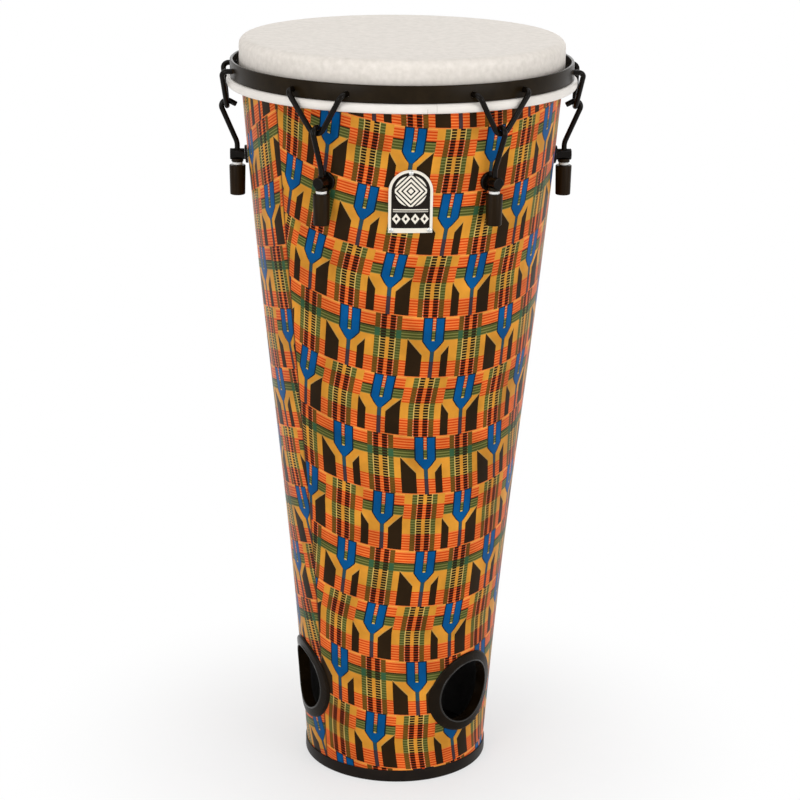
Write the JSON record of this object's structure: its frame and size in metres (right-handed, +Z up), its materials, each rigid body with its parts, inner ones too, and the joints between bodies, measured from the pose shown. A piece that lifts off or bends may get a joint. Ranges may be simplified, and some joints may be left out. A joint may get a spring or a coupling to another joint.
{
  "type": "ashiko drum",
  "caption": "Tall cone-shaped hand drum with a flat head, a rim pulled down by hooks, rods and sleeve nuts on round lugs, round side ports and an open foot.",
  "frame": {"origin": "centre of the foot's underside, on the floor plane", "axes": "+Z up along the drum's axis, -Y towards the badge"},
  "size_m": [0.3422, 0.3276, 0.7188],
  "materials": {
    "printed_film": "semi-gloss printed film in a woven-cloth pattern of orange, yellow, green, blue and black, on a synthetic shell",
    "black_plastic": "moulded satin black",
    "head_film": "matt parchment-like synthetic head",
    "white_hoop": "smooth white moulding",
    "black_metal": "satin black powder coat",
    "zinc_plate": "bright zinc plate",
    "white_nylon": "white nylon",
    "badge_enamel": "black enamel with a white border"
  },
  "bodies": {
    "drum": {"shell": "printed_film", "base_ring": "black_plastic", "port_trim_1": "black_plastic", "port_trim_2": "black_plastic", "port_trim_3": "black_plastic", "drumhead": "head_film", "badge_plate": "badge_enamel", "badge_rivet_1": "zinc_plate", "badge_rivet_2": "zinc_plate", "badge_rivet_3": "zinc_plate", "lug_plate_1": "black_metal", "lug_plate_2": "black_metal", "lug_plate_3": "black_metal", "lug_plate_4": "black_metal", "lug_plate_5": "black_metal", "lug_plate_6": "black_metal", "lug_barrel_1": "black_metal", "lug_barrel_2": "black_metal", "lug_barrel_3": "black_metal", "lug_barrel_4": "black_metal", "lug_barrel_5": "black_metal", "lug_barrel_6": "black_metal", "lug_bolt_1": "zinc_plate", "lug_bolt_2": "zinc_plate", "lug_bolt_3": "zinc_plate", "lug_bolt_4": "zinc_plate", "lug_bolt_5": "zinc_plate", "lug_bolt_6": "zinc_plate", "saddle_washer_1": "black_metal", "saddle_washer_2": "black_metal", "saddle_washer_3": "black_metal", "saddle_washer_4": "black_metal", "saddle_washer_5": "black_metal", "saddle_washer_6": "black_metal", "nylon_washer_1": "white_nylon", "nylon_washer_2": "white_nylon", "nylon_washer_3": "white_nylon", "nylon_washer_4": "white_nylon", "nylon_washer_5": "white_nylon", "nylon_washer_6": "white_nylon"},
    "tuning_ring": {"flesh_hoop": "white_hoop", "rim": "black_metal", "tension_rod_1": "black_metal", "tension_rod_2": "black_metal", "tension_rod_3": "black_metal", "tension_rod_4": "black_metal", "tension_rod_5": "black_metal", "tension_rod_6": "black_metal", "v_hook_1": "black_metal", "v_hook_2": "black_metal", "v_hook_3": "black_metal", "v_hook_4": "black_metal", "v_hook_5": "black_metal", "v_hook_6": "black_metal"},
    "nut_1": {"tuning_nut_1": "black_metal"},
    "nut_2": {"tuning_nut_2": "black_metal"},
    "nut_3": {"tuning_nut_3": "black_metal"},
    "nut_4": {"tuning_nut_4": "black_metal"},
    "nut_5": {"tuning_nut_5": "black_metal"},
    "nut_6": {"tuning_nut_6": "black_metal"}
  },
  "joints": [
    {"name": "nut_turn_1", "type": "hinge", "parent": "drum", "child": "nut_1", "pos_m": [0.07712, -0.13359, 0.58], "axis": [0, 0, 1], "range_deg": [-1355, 1805]},
    {"name": "nut_turn_2", "type": "hinge", "parent": "drum", "child": "nut_2", "pos_m": [0.15425, 0, 0.58], "axis": [0, 0, 1], "range_deg": [-1355, 1805]},
    {"name": "nut_turn_3", "type": "hinge", "parent": "drum", "child": "nut_3", "pos_m": [0.07712, 0.13359, 0.58], "axis": [0, 0, 1], "range_deg": [-1355, 1805]},
    {"name": "nut_turn_4", "type": "hinge", "parent": "drum", "child": "nut_4", "pos_m": [-0.07712, 0.13359, 0.58], "axis": [0, 0, 1], "range_deg": [-1355, 1805]},
    {"name": "nut_turn_5", "type": "hinge", "parent": "drum", "child": "nut_5", "pos_m": [-0.15425, 0, 0.58], "axis": [0, 0, 1], "range_deg": [-1355, 1805]},
    {"name": "nut_turn_6", "type": "hinge", "parent": "drum", "child": "nut_6", "pos_m": [-0.07712, -0.13359, 0.58], "axis": [0, 0, 1], "range_deg": [-1355, 1805]},
    {"name": "rim_travel", "type": "slide", "parent": "drum", "child": "tuning_ring", "axis": [0, 0, 1], "range_m": [-0.004, 0.003]}
  ],
  "couplings": [
    {"joint": "nut_turn_1", "follows": "rim_travel", "rad_per_m": -7854},
    {"joint": "nut_turn_2", "follows": "rim_travel", "rad_per_m": -7854},
    {"joint": "nut_turn_3", "follows": "rim_travel", "rad_per_m": -7854},
    {"joint": "nut_turn_4", "follows": "rim_travel", "rad_per_m": -7854},
    {"joint": "nut_turn_5", "follows": "rim_travel", "rad_per_m": -7854},
    {"joint": "nut_turn_6", "follows": "rim_travel", "rad_per_m": -7854}
  ]
}
